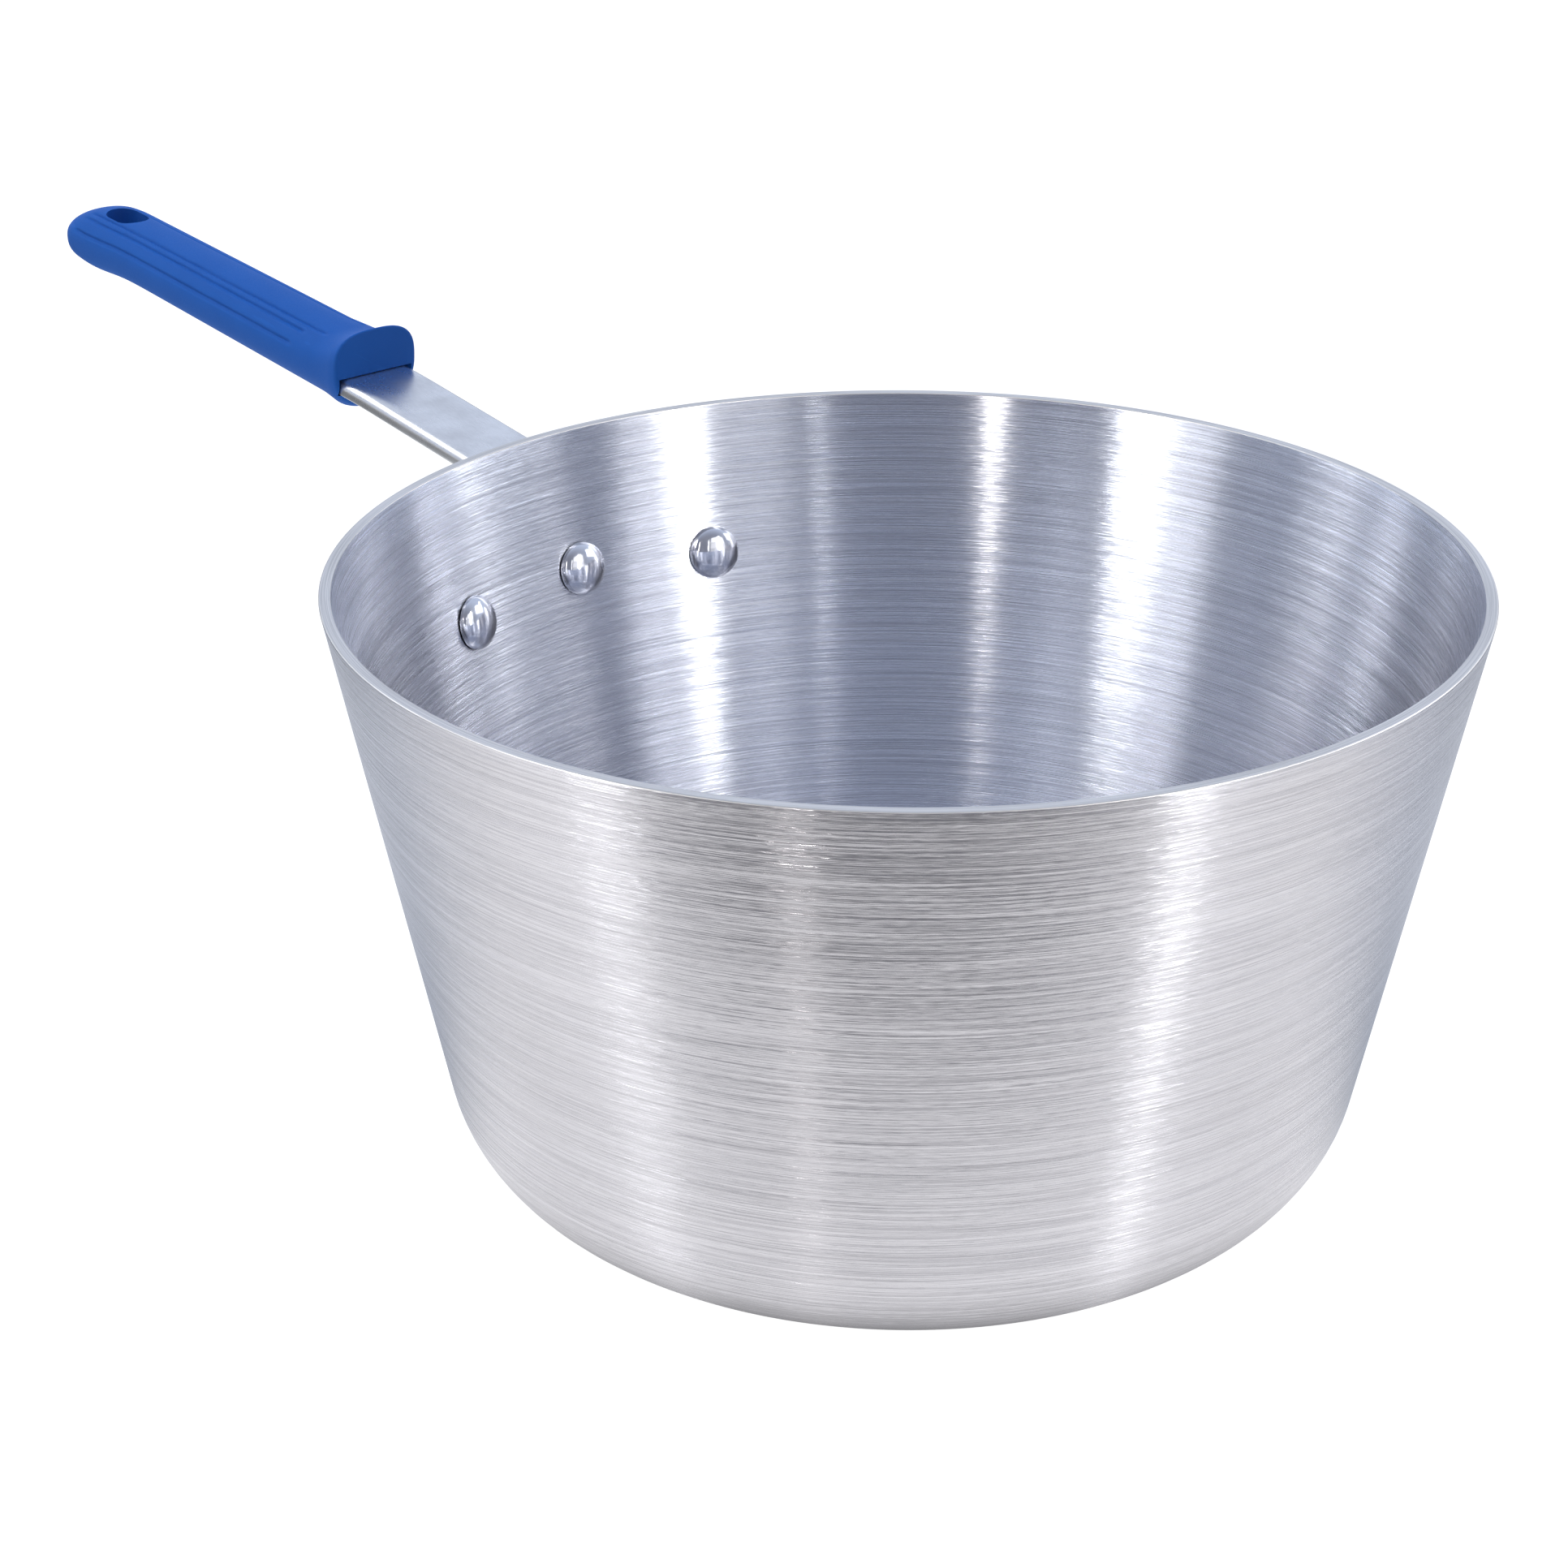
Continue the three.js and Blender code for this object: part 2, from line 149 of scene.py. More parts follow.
GRIP_LAST_TURN = 89.5
GRIP_END_STEPS = 20
BODY_START = 30 * MM
# Where the grip's rings are past the collar's edge: the end of each stretch, and its number of rings.
GRIP_ROWS = (
    (FACE_ROUND, 6),
    (COLLAR_LENGTH, 10),
    (BODY_START, 18),
    (GRIP_LENGTH - POMMEL_PLACE - 2 * POMMEL_SPAN, 24),
    (GRIP_LENGTH - END_TOP, 16),
    (GRIP_LENGTH - END_BOTTOM, 16),
)
FACE_RINGS = (0.9, 0.6, 0.3, 0.1)
POCKET_END_ROOM = 1 * MM
POCKET_MOUTH = 1 * MM
POCKET_SIDES = 20
HOLE_PLACE = 132.8 * MM
HOLE_LENGTH = 15.3 * MM
HOLE_WIDTH = 10.2 * MM
HOLE_EASE = 0.9 * MM
HOLE_FLARE = 0.7 * MM
HOLE_TURNS = [math.radians(a) for a in (0, 15, 30, 45, 60, 72)]
HOLE_SKIN = 1 * MM
HOLE_OPEN_OUT = 0.4 * MM
HOLE_PAST_SKIN = 0.3 * MM
HOLE_REACH = 20 * MM

# Grooves on each side of the grip: how high round the section, and where each stops near the collar.
GROOVES = ((52, 13.5 * MM), (38.8, 21.5 * MM), (16.3, 24 * MM))
GROOVE_START = 144 * MM
GROOVE_DEPTH = 0.65 * MM
GROOVE_SPREAD = 0.55 * MM
GROOVE_FADE = 3 * MM

# The photographer's place, by its bearing round the pan from the handle.
CAMERA_BEARING = math.radians(137.5)
CAMERA_DISTANCE = 0.7536
CAMERA_HEIGHT = 0.4374
CAMERA_YAW = math.radians(2.184)
CAMERA_PITCH = math.radians(24.295)
CAMERA_ROLL = math.radians(-0.266)
CAMERA_LENS = 78.62
CAMERA_SENSOR = 36
CAMERA_CLIP = 10 * MM

# Brushed streaks: (length round the pan, width, a shift that makes each noise different).
FINE_STREAK = (60 * MM, 0.24 * MM, 3.1)
SPECK = (3.5 * MM, 0.24 * MM, 29.5)
COARSE_STREAK = (220 * MM, 2.4 * MM, 17.9)
LONG_LINE = (80 * MM, 0.35 * MM, 41.3)
LIP_STREAK = (40 * MM, 0.3 * MM, 5.3)

# How much of the tone comes from fine streaks, specks and coarse streaks, and the range it fills.
TONE_SHARES = (0.68, 0.14, 0.18)
TONE_RANGE = (0.41, 0.59)

# The noise at which a long dark or pale line starts to show and is at its full strength, and the noise's
# middle and spread.
DARK_LINES = (0.62, 0.7)
PALE_LINES = (0.38, 0.3)
NOISE_MEAN = 0.5
NOISE_SPREAD = (0.36, 0.64)

# The two brushed surfaces: colours, roughness, how far the grain tips the surface up and down (tilt) and
# sideways (swing), how strong the long lines are, and the width of the grain.
OUTSIDE = {
    "dark": (0.56, 0.55, 0.585),
    "light": (0.75, 0.74, 0.78),
    "rough": (0.3, 0.22),
    "tilt": 1.8,
    "speck_tilt": 0.6,
    "swing": 0.2,
    "lines": 0.6,
    "grain": 1.0,
}
INSIDE = {
    "dark": (0.575, 0.58, 0.625),
    "light": (0.83, 0.84, 0.885),
    "rough": (0.3, 0.24),
    "tilt": 1.1,
    "speck_tilt": 0.5,
    "swing": 0.07,
    "lines": 0.7,
    "grain": 0.8,
}

# The other surfaces: the darkest and lightest colour, and the roughness of the one and the other.
LIP_COLOURS = ((0.68, 0.655, 0.62), (0.9, 0.865, 0.815))
LIP_ROUGH = (0.5, 0.4)
RIVET_COLOURS = ((0.72, 0.73, 0.78), (0.9, 0.9, 0.93))
RIVET_ROUGH = (0.09, 0.15)
RIVET_MARKS = (900.0, 5000.0, 900.0)
STEEL_COLOURS = ((0.76, 0.745, 0.725), (0.94, 0.925, 0.9))
STEEL_ROUGH = (0.34, 0.22)
STEEL_MARKS = (160.0, 3200.0, 3200.0)
SILICONE_COLOURS = ((0.001, 0.082, 0.37), (0.006, 0.11, 0.46))
SILICONE_ROUGH = (0.5, 0.62)
# Pointiness where the silicone starts to turn paler and where it is palest, and how much paler: paler on
# sharp convex edges.
PALER_EDGE_POINTINESS = (0.505, 0.56)
PALER_EDGE_SHARE = 0.35
TABLE_COLOURS = ((0.2, 0.2, 0.2), (0.22, 0.22, 0.22))

# Where a mix of two colours has its share, its colours and its result.
MIX_SHARE = 0
MIX_COLOURS = (6, 7)
MIX_RESULT = 2

# The lights. Each tall one is in lengths, brighter toward its top. Rises are degrees above its foot.
STREAK_GAINS = (1, 1.2, 1.8)
STREAK_FOOT = 0.1
WHITE = (1, 1, 1)
WARM = (1, 0.94, 0.88)
SOFT_WARM = (1, 0.97, 0.94)
# (name, bearing from the camera in degrees, distance, width, lowest and highest rise, radiance, colour)
STREAKS = (
    ("left_panel", -52.6, 1.15, 0.22, -2, 44, 5.0, WHITE),
    ("left_glow", -63, 1.2, 0.4, -2, 44, 0.6, WHITE),
    ("right_strip", 49.5, 1.13, 0.04, -2, 44, 24.0, WHITE),
    ("right_panel", 50.3, 1.16, 0.18, -2, 44, 1.8, WHITE),
    ("right_glow", 45, 1.2, 0.9, -2, 44, 0.55, WHITE),
    ("left_slit", -18.8, 2.0, 0.03, 0, 40, 12.0, WARM),
    ("left_slit_foot", -18.6, 2.1, 0.025, -4, 12, 26.0, SOFT_WARM),
    ("right_slit", 19.2, 2.0, 0.028, 10, 40, 6.0, WHITE),
    ("left_rear_panel", -100, 1.0, 0.3, 20, 36, 1.7, WHITE),
    ("right_rear_panel", 94, 1.0, 0.5, 20, 36, 1.7, WHITE),
    ("right_rear_strip", 105, 0.98, 0.1, 20, 36, 2.5, WHITE),
)
TOP_PANEL = 0.7
TOP_PANEL_BEARING = -110
TOP_PANEL_ASIDE = 0.5
TOP_PANEL_HEIGHT = 1.1
TOP_PANEL_RADIANCE = 4.4

# The room's colours in front and behind, and how the change from one to the other is spread.
ROOM_FRONT = (0.24, 0.255, 0.315)
ROOM_BACK = (0.6, 0.68, 0.86)
ROOM_SPREAD = (-0.75, 0.5)

# The table: its size, and the colours of the glowing card that paints its reflection in the metal, with
# painted shadow close to the pan and painted dark in front and far off. Where one gives way to another is a
# cosine from the camera's side for TABLE_SIDES and TABLE_FACING, and metres from the axis for the others.
TABLE_SIZE = 6
TABLE_ROWS = 8
TABLE_DROP = 0.1 * MM
REFLECTED_HEIGHT = 0.05 * MM
# Painted reflection colours, glowing from a card that only the metal sees.
TABLE_NEAR = (1.04, 1.04, 1.04)
TABLE_FRONT = (0.15, 0.15, 0.155)
# Painted shade: the reflection card's colour close beside the pan.
TABLE_PAINTED_SHADE_BESIDE = (0.22, 0.26, 0.32)
TABLE_BACK = (0.68, 0.72, 0.79)
TABLE_FAR = (0.1, 0.11, 0.13)
TABLE_SIDES = (-0.4, 0.35)
TABLE_FACING = (0.4, 0.95)
TABLE_EDGE = (0.17, 0.34)
# Painted contact shadow: the reflection card fades to black within this distance of the axis.
TABLE_PAINTED_SHADOW = (0.085, 0.12)
TABLE_PAINTED_SIDE_SHADE = (0.08, 0.26)
TABLE_REACH = (0.46, 0.56)


def mix(a, b, share):
    return a + (b - a) * share


def clamp(x, low=0.0, high=1.0):
    return min(max(x, low), high)


def smooth(x):
    t = clamp(x)
    return t * t * (3 - 2 * t)


def spaced(start, end, steps):
    """Steps values after start, evenly spaced, the last one being end."""
    return [mix(start, end, (i + 1) / steps) for i in range(steps)]


def stretches(start, parts):
    """Values after start, evenly spaced within each of the parts, which are given as (end, steps)."""
    values = []
    for end, steps in parts:
        values += spaced(start, end, steps)
        start = end
    return values


def arc(centre, radius, start, end, steps):
    """Points round an arc in a lathe's plane, both ends included."""
    return [
        (centre[0] + radius * math.cos(angle), centre[1] + radius * math.sin(angle))
        for angle in [start, *spaced(start, end, steps)]
    ]


# ---------------------------------------------------------------- meshes


def new_piece(name, mesh, materials):
    piece = bpy.data.objects.new(name, mesh)
    bpy.context.scene.collection.objects.link(piece)
    for material in materials:
        mesh.materials.append(material)
    return piece


def mesh_of_rings(name, rings, start_point, end_point):
    """A closed skin over rings of points, with a fan to a point at each end."""
    bm = bmesh.new()
    rows = [[bm.verts.new(p) for p in ring] for ring in rings]
    sides = len(rows[0])
    for near, far in zip(rows, rows[1:]):
        for i in range(sides):
            j = (i + 1) % sides
            bm.faces.new((near[i], near[j], far[j], far[i]))
    for point, row, flip in ((start_point, rows[0], True), (end_point, rows[-1], False)):
        tip = bm.verts.new(point)
        for i in range(sides):
            j = (i + 1) % sides
            bm.faces.new((row[j], row[i], tip) if flip else (row[i], row[j], tip))
    bmesh.ops.recalc_face_normals(bm, faces=bm.faces)
    mesh = bpy.data.meshes.new(name)
    bm.to_mesh(mesh)
    bm.free()
    mesh.shade_smooth()
    return mesh


def lathe(name, profile, sides):
    """A solid turned round Z from (radius, height) points that start and end on the axis."""
    rings = [
        [
            (r * math.cos(a), r * math.sin(a), z)
            for a in (2 * math.pi * i / sides for i in range(sides))
        ]
        for r, z in profile[1:-1]
    ]
    start, end = ((0, 0, profile[k][1]) for k in (0, -1))
    return mesh_of_rings(name, rings, start, end)


def cut(mesh, cutters):
    """The mesh with these closed meshes taken out of it."""
    piece = bpy.data.objects.new("being_cut", mesh)
    tools = [bpy.data.objects.new("cutter", cutter) for cutter in cutters]
    for o in (piece, *tools):
        bpy.context.scene.collection.objects.link(o)
    for tool in tools:
        modifier = piece.modifiers.new("cut", "BOOLEAN")
        modifier.operation = "DIFFERENCE"
        modifier.solver = "MANIFOLD"
        modifier.object = tool
    graph = bpy.context.evaluated_depsgraph_get()
    result = bpy.data.meshes.new_from_object(piece.evaluated_get(graph))
    result.materials.clear()
    for o in (piece, *tools):
        bpy.data.objects.remove(o)
    return result


# ---------------------------------------------------------------- pan


def wall_radius(z):
    return RIM_RADIUS - (PAN_HEIGHT - z) * math.tan(WALL_ANGLE)


CORNER_CENTRE = (wall_radius(CORNER_RADIUS) - CORNER_RADIUS / math.cos(WALL_ANGLE), CORNER_RADIUS)


def lip_arc(inner):
    """The rounded edge of the lip, from the wall up to the flat top."""
    turn = -1 if inner else 1
    radius = LIP_ROUND_INSIDE if inner else LIP_ROUND_OUTSIDE
    height = PAN_HEIGHT - radius
    wall = wall_radius(height) - (WALL / math.cos(WALL_ANGLE) if inner else 0)
    centre = (wall - turn * radius / math.cos(WALL_ANGLE), height)
    wall_side = math.pi - WALL_ANGLE if inner else -WALL_ANGLE
    return arc(centre, radius, wall_side, math.pi / 2, LIP_STEPS)


def pan_profile():
    """Points from the middle of the underside, up the outside, over the lip and down to the floor inside,
    then the places in that list of the first and last point of the lip."""
    down = -math.pi / 2
    outside = arc(CORNER_CENTRE, CORNER_RADIUS, down, -WALL_ANGLE, CORNER_STEPS)
    inside = arc(CORNER_CENTRE, CORNER_RADIUS - WALL, down, -WALL_ANGLE, CORNER_STEPS)
    lip_outside = lip_arc(False)
    lip_inside = lip_arc(True)[::-1]

    def straight(a, b, steps):
        return [(mix(a[0], b[0], k), mix(a[1], b[1], k)) for k in spaced(0, 1, steps)[:-1]]

    profile = [(0, 0), *straight((0, 0), outside[0], FLOOR_RINGS), *outside]
    profile += straight(outside[-1], lip_outside[0], WALL_ROWS)
    lip_start = len(profile)
    profile += lip_outside + lip_inside
    lip_end = len(profile) - 1
    profile += straight(lip_inside[-1], inside[-1], WALL_ROWS)
    profile += [*inside[::-1], *straight(inside[0], (0, WALL), FLOOR_RINGS), (0, WALL)]
    return profile, lip_start, lip_end


def make_pan(outside, inside, lip):
    lip_slot, inside_slot = 1, 2
    profile, lip_start, lip_end = pan_profile()
    mesh = lathe("pan_walls", profile, PAN_SIDES)
    pan = new_piece("pan_walls", mesh, (outside, lip, inside))
    low, high = profile[lip_start], profile[lip_end]
    for face in mesh.polygons:
        centre = face.center
        radius = math.hypot(centre.x, centre.y)
        if centre.z > low[1] and centre.z > high[1]:
            face.material_index = lip_slot
        elif face.normal.z > math.sin(WALL_ANGLE) / 2 and radius < wall_radius(centre.z) - WALL / 2:
            face.material_index = inside_slot
    return pan


# ---------------------------------------------------------------- rivets


def rivet_places():
    """(name, point where it leaves the wall, direction out of the wall) for each rivet."""
    rows = (
        ("left", -RIVET_SPREAD, RIVET_DEPTH_SIDE),
        ("middle", 0, RIVET_DEPTH_MIDDLE),
        ("right", RIVET_SPREAD, RIVET_DEPTH_SIDE),
    )
    places = []
    for name, turn, depth in rows:
        height = PAN_HEIGHT - depth
        spin = Matrix.Rotation(turn, 3, "Z")
        place = spin @ Vector((wall_radius(height), 0, height))
        outward = spin @ Vector((math.cos(WALL_ANGLE), 0, -math.sin(WALL_ANGLE)))
        places.append((name, place, outward))
    return places


def rivet_mesh(name):
    """A formed rivet along Z, with 0 at the outside of the wall and the handle side upward."""
    inner_seat = -WALL - HEAD_SEAT
    outer_seat = 2 * GAP + SHEET

    def dome(radius, height, base):
        angles = [0, *spaced(0, math.pi / 2, DOME_STEPS)[:-1]]
        side = [(radius * math.cos(a), base + height * math.sin(a)) for a in angles]
        return [*side, (0, base + height)]

    head = dome(HEAD_RADIUS, -HEAD_HEIGHT, inner_seat)[::-1]
    tail = dome(TAIL_RADIUS, TAIL_HEIGHT, outer_seat)
    profile = [*head, (SHANK_RADIUS, inner_seat), (SHANK_RADIUS, outer_seat), *tail]
    mesh = lathe(name, profile, RIVET_SIDES)
    mesh.set_sharp_from_angle(angle=RIVET_CREASE)
    return mesh


def set_along(place, direction):
    """The turn and shift that stand a shape made along Z at a place, pointing in a direction."""
    return Matrix.Translation(place) @ direction.to_track_quat("Z", "Y").to_matrix().to_4x4()


def make_rivet(name, place, outward, material):
    rivet = new_piece(f"{name}_rivet", rivet_mesh(f"{name}_rivet"), (material,))
    rivet.matrix_world = set_along(place, outward)
    return rivet


# ---------------------------------------------------------------- handle

BEND_TURN = math.pi / 2 - WALL_ANGLE - STRAP_SLOPE
BEND_END = PLATE_HEIGHT + BEND_RADIUS * BEND_TURN
FACE = BEND_END + STRAP_LENGTH + ARCH_LENGTH
TIP = FACE + TANG_LENGTH

# The middle of the sheet, seen from the side: the length of each stretch, and how far it turns down.
PATH = (
    (PLATE_HEIGHT, 0),
    (BEND_RADIUS * BEND_TURN, BEND_TURN),
    (STRAP_LENGTH, 0),
    (ARCH_LENGTH, STRAP_SLOPE - TANG_SLOPE),
    (math.inf, 0),
)

# Where the sheet's rings are past the plate's corners: the end of each stretch, and its number of rings.
SHEET_ROWS = (
    (SHOULDER_START, 4),
    (SHOULDER_END, 40),
    (BEND_END + STRAP_LENGTH, 16),
    (FACE, 6),
    (FACE + TANG_NARROWING, 4),
    (TIP - TANG_FLAT - TANG_UNROLL, 12),
    (TIP - TANG_FLAT, 8),
    (TIP - TANG_HALF_WIDTH, 6),
)


def path_at(distance):
    """Point and heading at a distance along the sheet from the bottom of the plate."""
    offset = GAP + SHEET / 2
    heading = math.pi / 2 - WALL_ANGLE
    x = wall_radius(PLATE_BOTTOM) + offset * math.cos(WALL_ANGLE)
    z = PLATE_BOTTOM - offset * math.sin(WALL_ANGLE)
    left = distance
    for length, turn in PATH:
        run = min(left, length)
        bend = turn * run / length
        chord = 2 * run * math.sin(bend / 2) / bend if bend else run
        x += chord * math.cos(heading - bend / 2)
        z += chord * math.sin(heading - bend / 2)
        heading -= bend
        left -= run
        if left <= 0:
            break
    return x, z, heading


def roll_at(v):
    """How far the sheet's edges are rolled down: 0 on the plate, 1 along the strap, 0 at the tip."""
    rise = smooth((v - PLATE_HEIGHT) / (BEND_END + ROLL_RUN_OUT - PLATE_HEIGHT))
    return rise * smooth((TIP - TANG_FLAT - v) / TANG_UNROLL)


def level_at(v):
    """How far the sheet has gone from following the round wall, 0, to lying level across, 1."""
    start = PLATE_HEIGHT - LEVEL_LEAD
    return smooth((v - start) / (BEND_END + LEVEL_RUN_OUT - start))


EDGE = ROLL_RADIUS * math.pi / 2 + ROLL_DROP


def edge_reach(v):
    """How far sideways a rolled edge reaches."""
    turned = math.pi / 2 * roll_at(v)
    straight = EDGE - ROLL_RADIUS * turned
    return (ROLL_RADIUS + SHEET / 2) * math.sin(turned) + straight * math.cos(turned)


def half_width(v):
    """Half the width of the finished handle at a distance along the sheet."""
    if v < PLATE_CORNER:
        rise = math.sqrt(PLATE_CORNER**2 - (PLATE_CORNER - max(v, 0)) ** 2)
        return PLATE_HALF_WIDTH - PLATE_CORNER + rise
    from_tip = TIP - v
    if from_tip < TANG_HALF_WIDTH:
        round_end = TANG_HALF_WIDTH**2 - (TANG_HALF_WIDTH - from_tip) ** 2
        return math.sqrt(max(round_end, TIP_BLUNT**2))
    shoulder = smooth((v - SHOULDER_START) / (SHOULDER_END - SHOULDER_START))
    tang = clamp((v - FACE) / TANG_NARROWING)
    return mix(PLATE_HALF_WIDTH, STRAP_HALF_WIDTH, shoulder) - tang * (STRAP_HALF_WIDTH - TANG_HALF_WIDTH)


def blank_half_width(v):
    return half_width(v) - edge_reach(v) + EDGE


RIVET_ARC = RIVET_SPREAD * wall_radius(PAN_HEIGHT - RIVET_DEPTH_SIDE)


def sheet_middle(s, v):
    """The middle surface of the sheet: s runs across it and v along it."""
    flat = max(blank_half_width(v) - EDGE, 0)
    over = max(abs(s) - flat, 0)
    turned = min(over / ROLL_RADIUS, math.pi / 2 * roll_at(v))
    straight = over - turned * ROLL_RADIUS
    across = min(abs(s), flat) + ROLL_RADIUS * math.sin(turned) + straight * math.cos(turned)
    across = math.copysign(across, s)
    drop = ROLL_RADIUS * (1 - math.cos(turned)) + straight * math.sin(turned)
    level = level_at(v)
    droop = PLATE_DROOP * (s / RIVET_ARC) ** 2 * (1 - level)
    x, z, heading = path_at(v - droop)
    ring = Vector((x * math.cos(across / x), x * math.sin(across / x), z))
    down = Vector((math.sin(heading), 0, -math.cos(heading)))
    return ring.lerp(Vector((x, across, z)), level) + down * drop


def sheet_point(s, v, offset):
    """A point off the middle surface. A positive offset is toward the wall on the plate, up on the strap."""
    along_s = sheet_middle(s + SURFACE_STEP, v) - sheet_middle(s - SURFACE_STEP, v)
    along_v = sheet_middle(s, v + SURFACE_STEP) - sheet_middle(s, v - SURFACE_STEP)
    return sheet_middle(s, v) + along_v.cross(along_s).normalized() * offset


def sheet_rows():
    """Distances along the sheet that have a ring, closer together where it bends or narrows."""
    quarter = [math.radians(a) for a in spaced(0, 90, QUARTER_STEPS)]
    rows = [SHEET_EDGE * (1 - math.cos(a)) for a in [0, *quarter]]
    rows += [PLATE_CORNER * (1 - math.cos(a)) for a in quarter]
    rows += stretches(PLATE_CORNER, SHEET_ROWS)
    rows += [TIP - TANG_HALF_WIDTH * (1 - math.sin(a)) for a in quarter]
    rows += [TIP - SHEET_EDGE * (1 - math.sin(a)) for a in [0, *quarter]]
    return sorted(set(round(v, ROW_DIGITS) for v in rows))


def sheet_ring(v):
    """One ring round the sheet, with its cut edges rounded over."""
    from_end = min(v, TIP - v)
    sink = SHEET_EDGE - math.sqrt(max(SHEET_EDGE**2 - max(SHEET_EDGE - from_end, 0) ** 2, 0))
    half = blank_half_width(v)
    thick = SHEET / 2 - sink
    edge = min(SHEET_EDGE, thick, half / 2)
    flat = max(half - EDGE, 0)
    reach = half - edge
    inner = min(flat, reach)
    across = [-reach, *spaced(-reach, -inner, ROLLED_STEPS)[:-1]]
    across += [mix(-inner, inner, i / FLAT_STEPS) for i in range(FLAT_STEPS + 1)]
    across += spaced(inner, reach, ROLLED_STEPS)
    side = [(reach + edge * math.sin(a), thick - edge + edge * math.cos(a)) for a in EDGE_TURNS]
    side += [(s, -t) for s, t in side[::-1]]
    ring = [(s, thick) for s in across] + side
    ring += [(-s, -t) for s, t in ring]
    return [sheet_point(s, v, t) for s, t in ring]


def slot_outline(radius):
    """The hang hole seen from above, in the grip's frame: a slot with round ends."""
    half = (HOLE_LENGTH - HOLE_WIDTH) / 2
    ends = ((half, -math.pi / 2), (-half, math.pi / 2))
    return [
        (HOLE_PLACE + shift + radius * math.cos(start + a), radius * math.sin(start + a))
        for shift, start in ends
        for a in [0, *spaced(0, math.pi, SLOT_END_STEPS)]
    ]


def grip_frame():
    """The grip's frame: the top of the strap where it enters the collar, turned up with the tang."""
    x, z, heading = path_at(FACE)
    place = Vector((x - SHEET / 2 * math.sin(heading), 0, z + SHEET / 2 * math.cos(heading)))
    return Matrix.Translation(place) @ Matrix.Rotation(-TANG_SLOPE, 4, "Y")


def straight_cutter(outline, low, high):
    """A closed block of that outline between two heights."""
    rings = [[(x, y, z) for x, y in outline] for z in (low, high)]
    middle = [sum(p[k] for p in outline) / len(outline) for k in (0, 1)]
    return mesh_of_rings("cutter", rings, (*middle, low), (*middle, high))


def rivet_cutters():
    holes = []
    for _, place, outward in rivet_places():
        radius = SHANK_RADIUS + GAP
        profile = [(0, -DRILL_REACH), (radius, -DRILL_REACH), (radius, DRILL_REACH), (0, DRILL_REACH)]
        hole = lathe("cutter", profile, DRILL_SIDES)
        hole.transform(set_along(place, outward))
        holes.append(hole)
    return holes


def make_handle(material):
    rings = [sheet_ring(v) for v in sheet_rows()]
    ends = [sheet_middle(0, v) for v in (0, TIP)]
    mesh = mesh_of_rings("handle_pressing", rings, *ends)
    slot = straight_cutter(slot_outline(HOLE_WIDTH / 2 + HOLE_EASE), -SLOT_REACH, SLOT_REACH)
    slot.transform(grip_frame())
    mesh = cut(mesh, [slot, *rivet_cutters()])
    mesh.shade_smooth()
    mesh.set_sharp_from_angle(angle=HANDLE_CREASE)
    return new_piece("handle_pressing", mesh, (material,))


# ---------------------------------------------------------------- grip


def rounded_end(s, reach):
    """How much of the full size is left at s, where the last part of the grip rounds off."""
    k = clamp((s - GRIP_LENGTH + reach) / reach)
    return (1 - k**END_CURVE) ** (1 / END_CURVE)


def grip_section(s):
    """Half width, middle height, and rise and fall from the middle at a distance from the collar face."""
    along = s / GRIP_LENGTH
    collar = max(0, 1 - s / COLLAR_LENGTH) ** 2
    lip = smooth(1 - s / LIP_LENGTH)
    face = max(0, 1 - s / FACE_ROUND) ** 2
    pommel = POMMEL_BULGE * math.exp(-(((s - GRIP_LENGTH + POMMEL_PLACE) / POMMEL_SPAN) ** 2))
    edge = COLLAR_EDGE - math.sqrt(COLLAR_EDGE**2 - max(COLLAR_EDGE - s, 0) ** 2)
    half = GRIP_HALF_WIDTH + COLLAR_SPREAD * collar + POMMEL_SIDE * pommel - FACE_INSET_SIDE * face - edge
    top = mix(*GRIP_TOP, along) + COLLAR_RISE * collar - FACE_INSET_TOP * face - edge
    bottom = mix(*GRIP_BOTTOM, along) - LIP_DROP * lip - pommel + FACE_INSET_BOTTOM * face + edge
    middle = (top + bottom) / 2
    return (
        half * rounded_end(s, END_PLAN),
        middle,
        (top - middle) * rounded_end(s, END_TOP),
        (middle - bottom) * rounded_end(s, END_BOTTOM),
    )


def bulge(x, curve):
    return math.copysign(abs(x) ** (2 / curve), x)


def top_curve(s):
    """How square the top of the section is: squarer at the collar."""
    return mix(*TOP_CURVE, smooth(s / (2 * COLLAR_LENGTH)))


def section_point(s, turn):
    half, middle, rise, fall = grip_section(s)
    curve, height = (top_curve(s), rise) if turn % (2 * math.pi) <= math.pi else (BOTTOM_CURVE, fall)
    return Vector((s, half * bulge(math.cos(turn), curve), middle + height * bulge(math.sin(turn), curve)))


def groove_depth(s, point, middle):
    """How deep the side grooves are at a point on the skin."""
    from_axis = Vector((abs(point.y), point.z - middle))
    around = math.degrees(math.atan2(from_axis.y, from_axis.x))
    depth = 0
    for angle, stop in GROOVES:
        beside = math.radians(around - angle) * from_axis.length
        fade = smooth((s - stop) / GROOVE_FADE) * smooth((GROOVE_START - s) / GROOVE_FADE)
        depth += fade * math.exp(-((beside / GROOVE_SPREAD) ** 2))
    return GROOVE_DEPTH * min(depth, 1)


def grip_ring(s):
    middle = grip_section(s)[1]
    ring = []
    for i in range(GRIP_SIDES):
        turn = 2 * math.pi * i / GRIP_SIDES
        point = section_point(s, turn)
        depth = groove_depth(s, point, middle)
        inward = Vector((0, -point.y, middle - point.z)).normalized()
        ring.append(point + inward * depth)
    return ring


def grip_rows():
    quarter = [math.radians(a) for a in spaced(0, GRIP_LAST_TURN, GRIP_END_STEPS)]
    rows = [COLLAR_EDGE * (1 - math.cos(a)) for a in (0, *quarter[1::3])]
    rows += stretches(COLLAR_EDGE, GRIP_ROWS)
    rows += [GRIP_LENGTH - END_BOTTOM * (1 - math.sin(a)) for a in quarter]
    return rows


